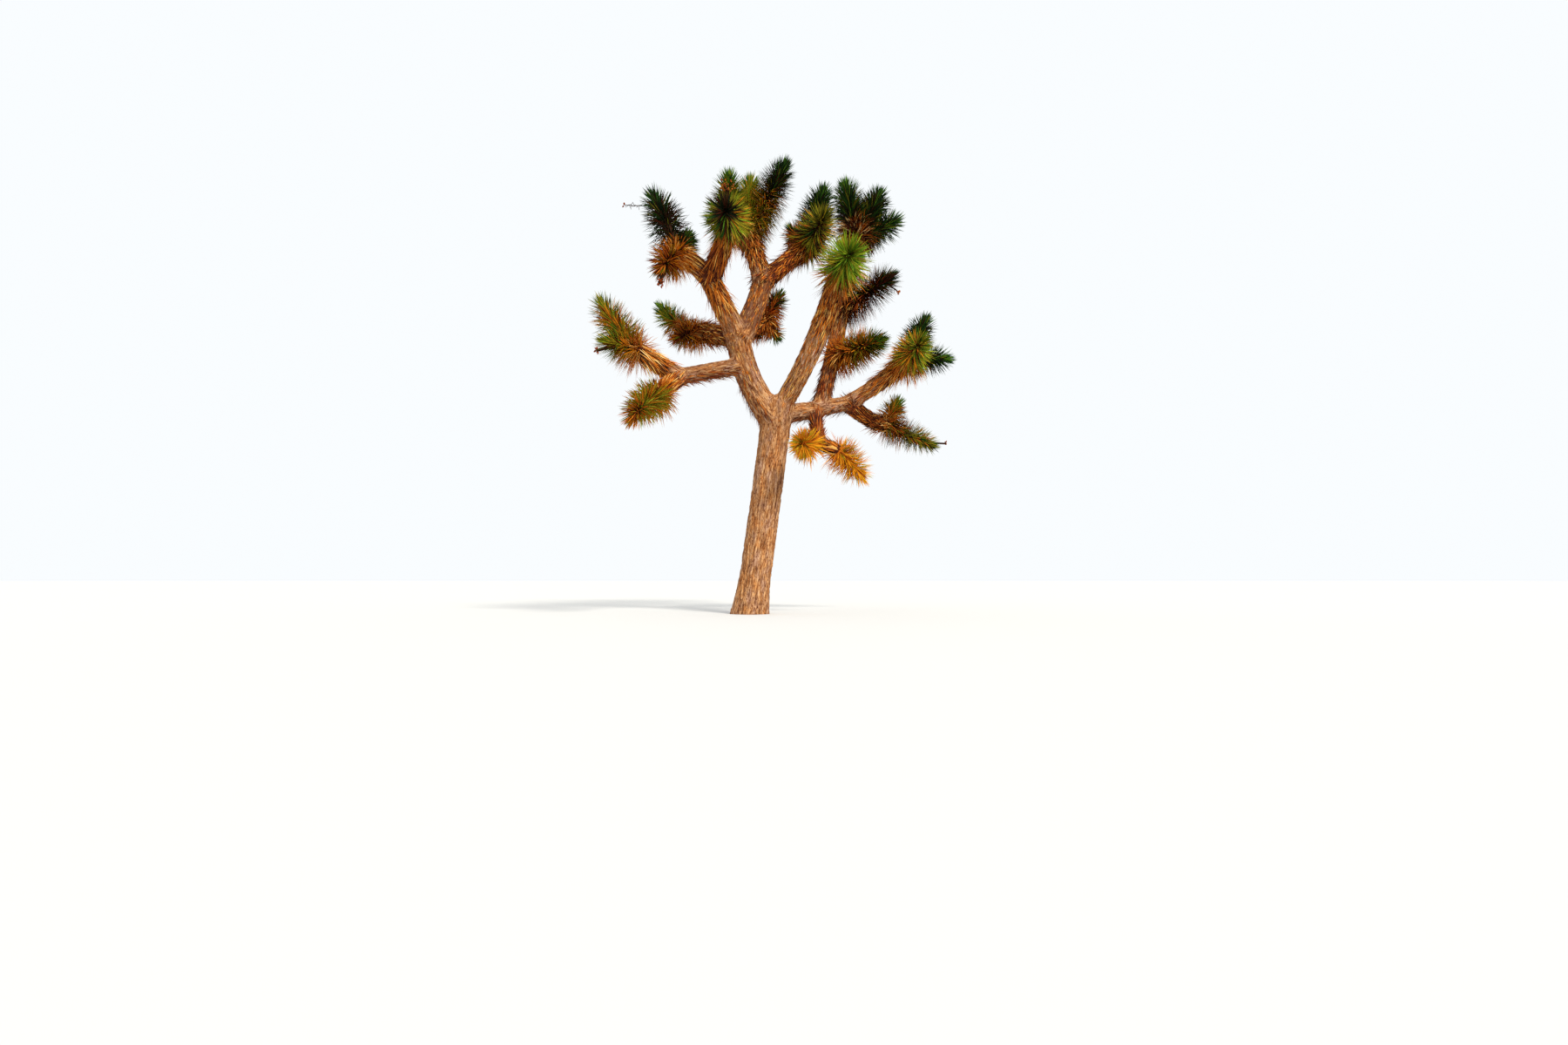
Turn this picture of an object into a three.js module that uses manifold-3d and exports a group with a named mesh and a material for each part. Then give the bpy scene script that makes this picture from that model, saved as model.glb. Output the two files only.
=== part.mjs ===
// A Joshua tree 6.3 metres tall: a leaning trunk with a flared foot, forked boughs clothed in
// thatch, and club-shaped heads of dagger leaves at every branch end.
// Millimetres, +Z up, origin at the middle of the flat cut at ground level.
// The side from which the tree is usually seen is -Y, with +X to the right.
import * as THREE from "three";
import { mergeVertices } from "three/addons/utils/BufferGeometryUtils.js";
import Module from "manifold-3d";

const wasm = await Module();
wasm.setup();

const GAP = 0.3; // clear space between pieces that touch
const CURVE_STEPS = 8; // straight steps that a middle line's bend is worked out in
const LINE_STEPS = 40; // places along a middle line where distances are measured
const FEWEST_RINGS = 4; // cross-sections of a short limb or core

// The trunk's foot and the unevenness of all bark.
const BELOW_GROUND = 120; // length of trunk that the flat cut at ground level removes
const ROOT_FLARE = 62; // how far the foot spreads beyond the trunk's girth
const ROOT_FLARE_HEIGHT = 230; // height over which most of that spread dies away
const ROOT_LOBES = 5; // buttresses round the foot
const ROOT_LOBE_DEPTH = 0.25; // share of the spread
const TRUNK_SIDES = 14;
const TRUNK_RING = 180; // length of trunk between two cross-sections
const FORK_SWELL = 26; // how much the trunk widens at its fork
const FORK_SWELL_LENGTH = 220;
const LIMB_SIDES = 9;
const LIMB_RING = 210;
const COLLAR = 0.28; // swelling at a bough's foot, as a share of its radius
const COLLAR_LENGTH = 130;
const BARK_UNEVENNESS = 0.035; // share of the radius
const BARK_WAVES = [
  { round: 3, along: 7 }, // lumps round the limb, and how far they turn along it in radians
  { round: 2, along: -11 },
];
const LIMB_END = 0.8; // a limb's last ring, as a share of its radius

// The heads: a dense core that dagger leaves stand out of.
const CORE_SIDES = 6;
const CORE_RING = 220;
const CORE_SHARE = 0.7; // widest radius of the core, as a share of its leaves' reach
const CORE_SWELL = 0.24; // share of the core over which it widens from its bough's girth
const CORE_DOME = 0.42; // how far the core runs on past the stem's tip, as a share of the reach
const CORE_ROUNDING = 3.2; // the higher, the blunter the core's end
const CORE_END = 0.34; // its last ring, as a share of its widest radius
const CORE_SINK = 40; // how far a core starts back over its bough's end
const CORE_FOOT = 0.8; // the core's first radius, as a share of its bough's
const LEAF_SIDES = 3;
const LEAF_WIDTH = 84; // one modelled leaf stands for several narrow ones
const LEAF_THICKNESS = 16;
const LEAF_BELLY = 0.5; // where a leaf is widest, as a share of its reach from the stem's axis
const LEAF_CLEARANCE = 16; // from limbs
const HEAD_CLEARANCE = 24; // from the next head's core, and from halfway to its stem
const LEAF_TESTS = 10; // places along a leaf where its clearance is tried
const SUNK_SHARE = 0.95; // places within this share of the core's radius count as sunk in it
const FEWEST_LEAVES = 10; // on a head of no length
const STEM_PER_LEAF = 27; // length of stem for each further leaf
const FIRST_LEAF = 0.1; // share of the stem where the leaves begin
const LAST_LEAF = 0.98;
const TIP_LEAF_ANGLE = 14; // leaves at a head's tip point along the stem
const LEAF_ANGLE_CURVE = 4; // the higher, the further up the stem its leaves keep their spread
const LEAF_ANGLE_PLAY = 14; // degrees by which leaves differ
const GOLDEN_ANGLE = 137.508; // turn round the stem from each leaf to the next
const GOLDEN_ANGLE_PLAY = 20;
const REACH_PLAY = 0.16; // share of the reach by which leaves differ
const TIP_SHORTENING = 0.25; // how much shorter the leaves at a head's tip are
const TIP_SHORTENING_CURVE = 3;

// Limbs. Each leaves the middle line of the limb it is on, at a share of that limb's length,
// and runs towards a heading (degrees round +Z from +X) and a rise (degrees above the level),
// which are those of its middle. The lift is how much steeper it ends than it starts.
const LIMBS = [
  // name, on, at, heading, rise, lift, length, foot radius, tip radius
  ["trunk", null, 0, 0, 82.5, 1, 2660, 196, 188],
  ["left_bough", "trunk", 0.93, 192, 66, 36, 1250, 166, 150],
  ["left_low_bough", "left_bough", 0.66, 207, -16, 0, 950, 102, 98],
  ["left_low_fork_outer", "left_low_bough", 0.95, 209, 25, 8, 560, 96, 98],
  ["left_low_fork_inner", "left_low_bough", 0.96, 240, -39, -10, 450, 96, 100],
  ["left_middle_bough", "left_bough", 0.94, 141, 18, -6, 750, 118, 114],
  ["upper_left_bough", "left_bough", 0.93, 219, 57, -4, 870, 130, 120],
  ["upper_left_fork_outer", "upper_left_bough", 0.95, 211, 29, -14, 480, 104, 106],
  ["upper_left_fork_inner", "upper_left_bough", 0.95, 307, 52, 30, 700, 114, 106],
  ["centre_bough", "left_bough", 0.93, 44, 65, 20, 1020, 140, 130],
  ["centre_fork_left", "centre_bough", 0.94, 131, 68, -10, 830, 114, 104],
  ["centre_fork_right", "centre_bough", 0.94, 36, 43, 0, 1020, 112, 108],
  ["centre_fork_back", "centre_fork_left", 0.6, 111, 44, 10, 870, 88, 88],
  ["centre_spur", "left_bough", 0.93, 57, 35, 18, 730, 84, 76],
  ["right_bough", "trunk", 0.97, 323, 59, 22, 1880, 116, 126],
  ["right_low_bough", "trunk", 0.96, 17, 13, 4, 1070, 122, 90],
  ["right_low_fork_outer", "right_low_bough", 0.95, 349, 34, 10, 910, 90, 98],
  ["right_riser", "right_low_bough", 0.56, 56, 68, 6, 1690, 100, 102],
  ["right_riser_top", "right_riser", 0.96, 61, 68, 0, 1300, 100, 94],
  ["right_low_fork_inner", "right_low_bough", 0.94, 39, -16, 26, 770, 94, 94],
  ["right_drop_bough", "right_low_bough", 0.5, 274, -53, 20, 660, 80, 76],
  ["right_drop_fork", "right_drop_bough", 0.93, 341, -27, 0, 283, 70, 74],
  ["right_drop_spur", "right_drop_bough", 0.9, 237, -20, 0, 236, 62, 64],
].map(([name, on, at, heading, rise, lift, length, foot, tip]) => ({
  name, on, at, heading, rise, lift, length, foot, tip,
}));

// Heads of leaves. The stem of each runs on from its limb by the same rules, and the reach is
// how far its leaves stand out from the stem's axis. The spread is the angle between the stem
// and the leaves at its base: over 90 where they are bent back.
const HEADS = [
  // name, on, at, heading, rise, lift, length, reach, spread
  ["head_upper_left_top", "upper_left_fork_outer", 1, 151, 64, -6, 835, 305, 96],
  ["head_upper_left_front", "upper_left_fork_outer", 1, 232, -45, -20, 325, 295, 82],
  ["head_upper_left_small", "upper_left_fork_outer", 1, 71, 50, 0, 360, 220, 72],
  ["head_top_front", "upper_left_fork_inner", 1, 269, -3, -30, 365, 320, 94],
  ["head_top_tuft", "upper_left_fork_inner", 1, 282, 83, 0, 495, 270, 74],
  ["head_top_middle", "centre_fork_left", 1, 86, 74, 0, 820, 305, 84],
  ["head_top_peak", "centre_fork_left", 1, 1, 63, 6, 1000, 320, 100],
  ["head_top_back", "centre_fork_back", 1, 129, 66, 6, 640, 290, 88],
  ["head_centre_small", "centre_fork_right", 1, 133, 44, 0, 380, 260, 84],
  ["head_centre_up", "centre_fork_right", 1, 33, 72, 0, 830, 300, 88],
  ["head_centre_front", "centre_fork_right", 1, 291, 16, 12, 560, 315, 92],
  ["head_right_top", "right_riser_top", 1, 129, 76, 0, 810, 330, 86],
  ["head_right_top_outer", "right_riser_top", 1, 40, 58, 4, 890, 330, 88],
  ["head_right_far", "right_riser_top", 1, 20, 29, 12, 670, 320, 88],
  ["head_right_front", "right_bough", 1, 285, 13, -40, 410, 360, 94],
  ["head_right_side", "right_riser", 0.98, 336, 25, 6, 660, 350, 100],
  ["head_right_lower_side", "right_riser", 0.5, 320, 5, 4, 675, 320, 78],
  ["head_left_outer_up", "left_low_fork_outer", 1, 169, 51, 20, 740, 305, 76],
  ["head_left_outer_low", "left_low_fork_outer", 1, 201, 12, 0, 335, 300, 76],
  ["head_left_low", "left_low_fork_inner", 1, 241, -36, -14, 565, 275, 94],
  ["head_left_middle", "left_middle_bough", 1, 161, 33, 40, 655, 255, 84],
  ["head_left_middle_low", "left_middle_bough", 1, 211, -22, 0, 300, 270, 82],
  ["head_centre_spur_up", "centre_spur", 1, 41, 58, 0, 430, 235, 88],
  ["head_centre_spur_side", "centre_spur", 1, 50, -33, 0, 250, 215, 92],
  ["head_right_outer_up", "right_low_fork_outer", 1, 36, 59, 0, 680, 265, 84],
  ["head_right_outer_front", "right_low_fork_outer", 1, 281, 11, 0, 490, 300, 96],
  ["head_right_outer_side", "right_low_fork_outer", 1, 9, 7, -8, 500, 265, 82],
  ["head_right_inner_up", "right_low_fork_inner", 1, 44, 56, 0, 390, 240, 76],
  ["head_right_inner_side", "right_low_fork_inner", 1, 14, -20, 0, 660, 250, 84],
  ["head_low_spur_left", "right_drop_spur", 1, 249, -5, 0, 280, 235, 94],
  ["head_low_spur_right", "right_drop_fork", 1, 37, -35, -8, 425, 275, 96],
].map(([name, on, at, heading, rise, lift, length, reach, spread]) => ({
  name, on, at, heading, rise, lift, length, reach, spread,
}));

const BARK = new THREE.MeshStandardMaterial({ color: 0x8a6a4f, roughness: 0.95, metalness: 0 });
const LEAF = new THREE.MeshStandardMaterial({ color: 0x5f7a2c, roughness: 0.6, metalness: 0 });

const { degToRad, lerp } = THREE.MathUtils;

// A repeatable source of numbers from 0 to 1.
function seeded(seed) {
  let state = seed >>> 0;
  return () => {
    state = (Math.imul(state, 1664525) + 1013904223) >>> 0;
    return state / 2 ** 32;
  };
}

function towards(heading, rise) {
  const h = degToRad(heading);
  const r = degToRad(rise);
  return new THREE.Vector3(Math.cos(r) * Math.cos(h), Math.cos(r) * Math.sin(h), Math.sin(r));
}

// The line down the middle of a limb or of a head's stem, which bends evenly by its lift. It
// may run on straight at either end: back behind its start, and ahead of its tip.
function middleLine(start, piece, back, ahead = 0) {
  const { heading, rise, lift, length } = piece;
  const at = start.clone();
  const points = [at.clone()];
  for (let i = 0; i < CURVE_STEPS; i++) {
    const share = (i + 0.5) / CURVE_STEPS;
    at.addScaledVector(towards(heading, rise + lift * (share - 0.5)), length / CURVE_STEPS);
    points.push(at.clone());
  }
  if (back) points.unshift(start.clone().addScaledVector(towards(heading, rise - lift / 2), -back));
  if (ahead) points.push(at.clone().addScaledVector(towards(heading, rise + lift / 2), ahead));
  return new THREE.CatmullRomCurve3(points);
}

// A closed round body along a curve, grown by so much on all sides. radiusAt(share, angle)
// gives its radius before that.
function roundBody(curve, rings, sides, grow, radiusAt) {
  const geometry = new THREE.CylinderGeometry(1, 1, 1, sides, rings);
  const frames = curve.computeFrenetFrames(rings);
  const position = geometry.getAttribute("position");
  const vertex = new THREE.Vector3();
  for (let i = 0; i < position.count; i++) {
    vertex.fromBufferAttribute(position, i);
    const ring = Math.round((vertex.y + 0.5) * rings);
    const onRim = Math.hypot(vertex.x, vertex.z) > 0.5;
    const radius = onRim ? radiusAt(ring / rings, Math.atan2(vertex.z, vertex.x)) + grow : 0;
    const end = Number(ring === rings) - Number(ring === 0);
    const placed = curve
      .getPointAt(ring / rings)
      .addScaledVector(frames.tangents[ring], end * grow)
      .addScaledVector(frames.normals[ring], vertex.x * radius)
      .addScaledVector(frames.binormals[ring], -vertex.z * radius);
    position.setXYZ(i, placed.x, placed.y, placed.z);
  }
  return solidOf(geometry);
}

function solidOf(geometry) {
  const bare = geometry.index ? geometry.toNonIndexed() : geometry.clone();
  bare.deleteAttribute("normal");
  bare.deleteAttribute("uv");
  const merged = mergeVertices(bare, 1e-3);
  return new wasm.Manifold(
    new wasm.Mesh({
      numProp: 3,
      vertProperties: new Float32Array(merged.getAttribute("position").array),
      triVerts: new Uint32Array(merged.index.array),
    }),
  );
}

function meshOf(name, solid, material) {
  const { vertProperties, triVerts } = solid.getMesh();
  const geometry = new THREE.BufferGeometry();
  geometry.setAttribute("position", new THREE.BufferAttribute(new Float32Array(vertProperties), 3));
  geometry.setIndex(new THREE.BufferAttribute(new Uint32Array(triVerts), 1));
  geometry.computeVertexNormals();
  const mesh = new THREE.Mesh(geometry, material);
  mesh.name = name;
  return mesh;
}

// The largest of a solid's separate bodies, so that a cut leaves no loose scrap.
function largest(solid) {
  return solid.decompose().reduce((best, one) => (one.volume() > best.volume() ? one : best));
}

function boxesMeet(a, b) {
  const p = a.boundingBox();
  const q = b.boundingBox();
  return [0, 1, 2].every((k) => p.min[k] <= q.max[k] && q.min[k] <= p.max[k]);
}

// Cuts a solid back from all those that it would touch.
function clearOf(solid, others) {
  const near = others.filter((other) => boxesMeet(solid, other));
  return near.reduce((left, other) => left.subtract(other), solid);
}

// A limb's radius at a share of its length, without the unevenness of its bark.
function girth(limb, share) {
  const plain = lerp(limb.foot, limb.tip, share);
  if (limb.on) return plain * (1 + COLLAR * Math.exp((-share * limb.length) / COLLAR_LENGTH));
  return plain + FORK_SWELL * Math.exp(((share - 1) * limb.length) / FORK_SWELL_LENGTH);
}

// How far the trunk's foot spreads at a height above the ground.
function rootFlare(height, angle) {
  const lobes = 1 - ROOT_LOBE_DEPTH * (1 - Math.cos(ROOT_LOBES * angle));
  return ROOT_FLARE * Math.exp(-Math.max(height, 0) / ROOT_FLARE_HEIGHT) * lobes;
}

function barkWaves(limb, angle, share) {
  return BARK_WAVES.reduce((sum, wave, index) => {
    return sum + Math.sin(wave.round * angle + wave.along * share + (index + 1) * limb.seed);
  }, 0);
}

function limbBody(limb, grow) {
  const back = limb.on ? 0 : BELOW_GROUND;
  const whole = limb.length + back;
  const rings = Math.max(FEWEST_RINGS, Math.round(whole / (limb.on ? LIMB_RING : TRUNK_RING)));
  const sides = limb.on ? LIMB_SIDES : TRUNK_SIDES;
  return roundBody(limb.curve, rings, sides, grow, (ring, angle) => {
    const along = Math.max(0, ring * whole - back);
    const share = along / limb.length;
    const uneven = 1 + (BARK_UNEVENNESS / BARK_WAVES.length) * barkWaves(limb, angle, share);
    const plain = girth(limb, share) * uneven * (ring === 1 ? LIMB_END : 1);
    return plain + (limb.on ? 0 : rootFlare(along, angle));
  });
}

function coreRadius(head, share) {
  const widening = Math.min(1, share / CORE_SWELL);
  const narrowing = Math.max(CORE_END, Math.sqrt(Math.max(0, 1 - share ** CORE_ROUNDING)));
  return lerp(head.foot, CORE_SHARE * head.reach, widening) * narrowing;
}

function coreBody(head, grow) {
  const rings = Math.max(FEWEST_RINGS, Math.round(head.whole / CORE_RING));
  return roundBody(head.curve, rings, CORE_SIDES, grow, (share) => coreRadius(head, share));
}

// One dagger leaf: a flat three-sided blade, widest inside the core, with its root on the
// stem's axis.
function leafBody(root, way, face, reach) {
  const outline = [
    new THREE.Vector2(0, 0),
    new THREE.Vector2(1, LEAF_BELLY * reach),
    new THREE.Vector2(0, reach),
  ];
  const side = new THREE.Vector3().crossVectors(way, face).normalize();
  const up = new THREE.Vector3().crossVectors(side, way);
  const corner = degToRad(360 / LEAF_SIDES);
  const width = LEAF_WIDTH / (2 * Math.sin(corner));
  const thickness = LEAF_THICKNESS / (1 - Math.cos(corner));
  const placed = new THREE.Matrix4()
    .makeBasis(side.multiplyScalar(width), way, up.multiplyScalar(thickness))
    .setPosition(root);
  return solidOf(new THREE.LatheGeometry(outline, LEAF_SIDES).applyMatrix4(placed));
}

// The nearest place on a piece's middle line: its distance from the point and its share.
function nearest(piece, point) {
  let best = { distance: Infinity, share: 0 };
  piece.line.forEach((place, index) => {
    const distance = place.distanceTo(point);
    if (distance < best.distance) best = { distance, share: index / LINE_STEPS };
  });
  return best;
}

// True if a leaf from root to tip, where it stands out of its core, keeps off every limb and
// nearer to its own head's stem than to any other.
function keepsClear(head, root, tip) {
  for (let i = 1; i <= LEAF_TESTS; i++) {
    const point = root.clone().lerp(tip, i / LEAF_TESTS);
    const own = nearest(head, point);
    if (own.distance < SUNK_SHARE * coreRadius(head, own.share)) continue;
    for (const limb of LIMBS) {
      const near = nearest(limb, point);
      const bark = girth(limb, near.share) * (1 + BARK_UNEVENNESS);
      if (near.distance < bark + LEAF_CLEARANCE) return false;
    }
    for (const other of HEADS) {
      if (other === head) continue;
      const near = nearest(other, point);
      const limit = Math.max(own.distance, coreRadius(other, near.share));
      if (near.distance < limit + HEAD_CLEARANCE) return false;
    }
  }
  return true;
}

// Leaves in a spiral up the stem: spread out at its base and turning forward towards its tip.
function leavesOf(head) {
  const random = seeded(head.seed);
  const count = FEWEST_LEAVES + Math.round(head.length / STEM_PER_LEAF);
  const frames = head.curve.computeFrenetFrames(count);
  const leaves = [];
  for (let i = 0; i < count; i++) {
    const share = lerp(FIRST_LEAF, LAST_LEAF, (i + 0.5) / count);
    const place = (head.back + share * head.length) / head.whole;
    const ring = Math.round(place * count);
    const root = head.curve.getPointAt(place);
    const axis = head.curve.getTangentAt(place);
    const round = degToRad(i * GOLDEN_ANGLE + GOLDEN_ANGLE_PLAY * random());
    const out = frames.normals[ring]
      .clone()
      .multiplyScalar(Math.cos(round))
      .addScaledVector(frames.binormals[ring], Math.sin(round));
    const spread = lerp(head.spread, TIP_LEAF_ANGLE, share ** LEAF_ANGLE_CURVE);
    const angle = degToRad(spread + LEAF_ANGLE_PLAY * (random() - 0.5));
    const way = axis.clone().multiplyScalar(Math.cos(angle)).addScaledVector(out, Math.sin(angle));
    const young = TIP_SHORTENING * share ** TIP_SHORTENING_CURVE;
    const reach = head.reach * (1 - young) * (1 + REACH_PLAY * (random() - 0.5));
    const tip = root.clone().addScaledVector(way, reach);
    if (keepsClear(head, root, tip)) leaves.push(leafBody(root, way, axis, reach));
  }
  return leaves;
}

// Every limb and stem is placed before any is built, so that leaves can keep clear of them all.
const limbNamed = new Map();
LIMBS.forEach((limb, index) => {
  const parent = limbNamed.get(limb.on);
  const start = parent ? parent.curve.getPointAt(limb.at) : new THREE.Vector3();
  limb.curve = middleLine(start, limb, parent ? 0 : BELOW_GROUND);
  limb.line = limb.curve.getSpacedPoints(LINE_STEPS);
  limb.seed = index + 1;
  limbNamed.set(limb.name, limb);
});
HEADS.forEach((head, index) => {
  const limb = limbNamed.get(head.on);
  const atSide = head.at < 1;
  const ahead = CORE_DOME * head.reach;
  head.back = atSide ? 0 : CORE_SINK;
  head.whole = head.back + head.length + ahead;
  head.curve = middleLine(limb.curve.getPointAt(head.at), head, head.back, ahead);
  head.line = head.curve.getSpacedPoints(LINE_STEPS);
  head.foot = girth(limb, head.at) * CORE_FOOT;
  head.seed = 100 + index;
});

const tree = new THREE.Group();
const grownLimbs = [];
for (const limb of LIMBS) {
  const whole = limbBody(limb, 0);
  const grounded = limb.on ? whole : whole.trimByPlane([0, 0, 1], 0);
  tree.add(meshOf(limb.name, largest(clearOf(grounded, grownLimbs)), BARK));
  grownLimbs.push(limbBody(limb, GAP));
}
const grownCores = [];
for (const head of HEADS) {
  const whole = leavesOf(head).reduce((fused, leaf) => fused.add(leaf), coreBody(head, 0));
  tree.add(meshOf(head.name, largest(clearOf(whole, [...grownLimbs, ...grownCores])), LEAF));
  grownCores.push(coreBody(head, GAP));
}

export default tree;
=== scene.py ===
"""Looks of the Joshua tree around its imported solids.

Blender units are metres, +Z up, and the tree is usually seen from -Y. The tables of limbs, heads
and stalks are in millimetres and degrees. Those of limbs and heads are the solids' own.
"""

import math

import bmesh
import bpy
import numpy as np
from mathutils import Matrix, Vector, noise


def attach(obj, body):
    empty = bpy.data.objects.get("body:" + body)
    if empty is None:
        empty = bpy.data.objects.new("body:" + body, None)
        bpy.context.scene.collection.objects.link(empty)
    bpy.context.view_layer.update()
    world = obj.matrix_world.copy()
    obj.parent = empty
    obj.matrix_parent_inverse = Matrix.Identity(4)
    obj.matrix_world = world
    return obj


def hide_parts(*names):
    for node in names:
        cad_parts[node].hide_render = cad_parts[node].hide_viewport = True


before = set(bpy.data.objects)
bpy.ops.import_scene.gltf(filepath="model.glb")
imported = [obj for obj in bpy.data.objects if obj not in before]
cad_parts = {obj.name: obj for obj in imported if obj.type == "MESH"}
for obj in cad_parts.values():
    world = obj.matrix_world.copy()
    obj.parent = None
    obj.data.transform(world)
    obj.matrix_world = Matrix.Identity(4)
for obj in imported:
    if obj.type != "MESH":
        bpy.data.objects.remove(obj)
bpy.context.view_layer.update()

MM = 0.001
STEPS = 40  # straight steps of a middle line
GOLDEN_ANGLE = math.radians(137.508)

# Limbs and heads

LIMBS = [
    # name, on, at, heading, rise, lift, length, foot radius, tip radius
    ("trunk", None, 0, 0, 82.5, 1, 2660, 196, 188),
    ("left_bough", "trunk", 0.93, 192, 66, 36, 1250, 166, 150),
    ("left_low_bough", "left_bough", 0.66, 207, -16, 0, 950, 102, 98),
    ("left_low_fork_outer", "left_low_bough", 0.95, 209, 25, 8, 560, 96, 98),
    ("left_low_fork_inner", "left_low_bough", 0.96, 240, -39, -10, 450, 96, 100),
    ("left_middle_bough", "left_bough", 0.94, 141, 18, -6, 750, 118, 114),
    ("upper_left_bough", "left_bough", 0.93, 219, 57, -4, 870, 130, 120),
    ("upper_left_fork_outer", "upper_left_bough", 0.95, 211, 29, -14, 480, 104, 106),
    ("upper_left_fork_inner", "upper_left_bough", 0.95, 307, 52, 30, 700, 114, 106),
    ("centre_bough", "left_bough", 0.93, 44, 65, 20, 1020, 140, 130),
    ("centre_fork_left", "centre_bough", 0.94, 131, 68, -10, 830, 114, 104),
    ("centre_fork_right", "centre_bough", 0.94, 36, 43, 0, 1020, 112, 108),
    ("centre_fork_back", "centre_fork_left", 0.6, 111, 44, 10, 870, 88, 88),
    ("centre_spur", "left_bough", 0.93, 57, 35, 18, 730, 84, 76),
    ("right_bough", "trunk", 0.97, 323, 59, 22, 1880, 116, 126),
    ("right_low_bough", "trunk", 0.96, 17, 13, 4, 1070, 122, 90),
    ("right_low_fork_outer", "right_low_bough", 0.95, 349, 34, 10, 910, 90, 98),
    ("right_riser", "right_low_bough", 0.56, 56, 68, 6, 1690, 100, 102),
    ("right_riser_top", "right_riser", 0.96, 61, 68, 0, 1300, 100, 94),
    ("right_low_fork_inner", "right_low_bough", 0.94, 39, -16, 26, 770, 94, 94),
    ("right_drop_bough", "right_low_bough", 0.5, 274, -53, 20, 660, 80, 76),
    ("right_drop_fork", "right_drop_bough", 0.93, 341, -27, 0, 283, 70, 74),
    ("right_drop_spur", "right_drop_bough", 0.9, 237, -20, 0, 236, 62, 64),
]
HEADS = [
    # name, on, at, heading, rise, lift, length, reach, spread, colours, dead share of the stem
    ("head_upper_left_top", "upper_left_fork_outer", 1, 151, 64, -6, 835, 305, 96, "dusky", 0.12),
    ("head_upper_left_front", "upper_left_fork_outer", 1, 232, -45, -20, 325, 295, 82, "tawny", 0.5),
    ("head_upper_left_small", "upper_left_fork_outer", 1, 71, 50, 0, 360, 220, 72, "shade", 0.2),
    ("head_top_front", "upper_left_fork_inner", 1, 269, -3, -30, 365, 320, 94, "smoky", 0.12),
    ("head_top_tuft", "upper_left_fork_inner", 1, 282, 83, 0, 495, 270, 74, "olive", 0.2),
    ("head_top_middle", "centre_fork_left", 1, 86, 74, 0, 820, 305, 84, "mossy", 0.1),
    ("head_top_peak", "centre_fork_left", 1, 1, 63, 6, 1000, 320, 100, "dusky", 0.6),
    ("head_top_back", "centre_fork_back", 1, 129, 66, 6, 640, 290, 88, "shade", 0.2),
    ("head_centre_small", "centre_fork_right", 1, 133, 44, 0, 380, 260, 84, "rust", 0.35),
    ("head_centre_up", "centre_fork_right", 1, 33, 72, 0, 830, 300, 88, "shade", 0.08),
    ("head_centre_front", "centre_fork_right", 1, 291, 16, 12, 560, 315, 92, "umber", 0.2),
    ("head_right_top", "right_riser_top", 1, 129, 76, 0, 810, 330, 86, "green", 0.3),
    ("head_right_top_outer", "right_riser_top", 1, 40, 58, 4, 890, 330, 88, "shade", 0.3),
    ("head_right_far", "right_riser_top", 1, 20, 29, 12, 670, 320, 88, "green", 0.15),
    ("head_right_front", "right_bough", 1, 285, 13, -40, 410, 360, 94, "bright", 0.3),
    ("head_right_side", "right_riser", 0.98, 336, 25, 6, 660, 350, 100, "maroon", 0.5),
    ("head_right_lower_side", "right_riser", 0.5, 320, 5, 4, 675, 320, 78, "bronze", 0.4),
    ("head_left_outer_up", "left_low_fork_outer", 1, 169, 51, 20, 740, 305, 76, "moss", 0.1),
    ("head_left_outer_low", "left_low_fork_outer", 1, 201, 12, 0, 335, 300, 76, "moss", 0.35),
    ("head_left_low", "left_low_fork_inner", 1, 241, -36, -14, 565, 275, 94, "sunny", 0.2),
    ("head_left_middle", "left_middle_bough", 1, 161, 33, 40, 655, 255, 84, "olive", 0.55),
    ("head_left_middle_low", "left_middle_bough", 1, 211, -22, 0, 300, 270, 82, "tawny", 0.3),
    ("head_centre_spur_up", "centre_spur", 1, 41, 58, 0, 430, 235, 88, "rust", 0.5),
    ("head_centre_spur_side", "centre_spur", 1, 50, -33, 0, 250, 215, 92, "rust", 0.5),
    ("head_right_outer_up", "right_low_fork_outer", 1, 36, 59, 0, 680, 265, 84, "shade", 0.3),
    ("head_right_outer_front", "right_low_fork_outer", 1, 281, 11, 0, 490, 300, 96, "moss", 0.3),
    ("head_right_outer_side", "right_low_fork_outer", 1, 9, 7, -8, 500, 265, 82, "green", 0.4),
    ("head_right_inner_up", "right_low_fork_inner", 1, 44, 56, 0, 390, 240, 76, "moss", 0.4),
    ("head_right_inner_side", "right_low_fork_inner", 1, 14, -20, 0, 660, 250, 84, "umber", 0.3),
    ("head_low_spur_left", "right_drop_spur", 1, 249, -5, 0, 280, 235, 94, "gold", 0.1),
    ("head_low_spur_right", "right_drop_fork", 1, 37, -35, -8, 425, 275, 96, "gold", 0.1),
]

# The trunk's foot, the boughs' collars and the bark

BELOW_GROUND = 0.12  # length of trunk that the flat cut at ground level removes
ROOT_FLARE = 0.062  # how far the foot spreads beyond the trunk's girth
ROOT_FLARE_HEIGHT = 0.23
ROOT_LOBES = 5
ROOT_LOBE_DEPTH = 0.25
FORK_SWELL = 0.026
FORK_SWELL_LENGTH = 0.22
COLLAR = 0.28  # swelling at a bough's foot, as a share of its radius
COLLAR_LENGTH = 0.13
LIMB_SIDES = 40
LIMB_RING = 0.03  # length of limb between two cross-sections
FOOT_SUNK = 0.5  # how far a bough starts back in its neighbour, as a share of its radius
TIP_BEYOND = 0.78  # how far a limb runs on past its tip, likewise
ROUNDING = 0.8  # length over which a limb's ends are rounded off, likewise
BLUNTEST = 0.98  # how much of that rounding is used at most
BLEND_VOXEL = 0.0155
FORK_SMOOTHING = 22  # rounds that melt the limbs into each other at their forks
SMOOTHING_LOSS = 0.008  # what they take off a limb's radius
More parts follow.
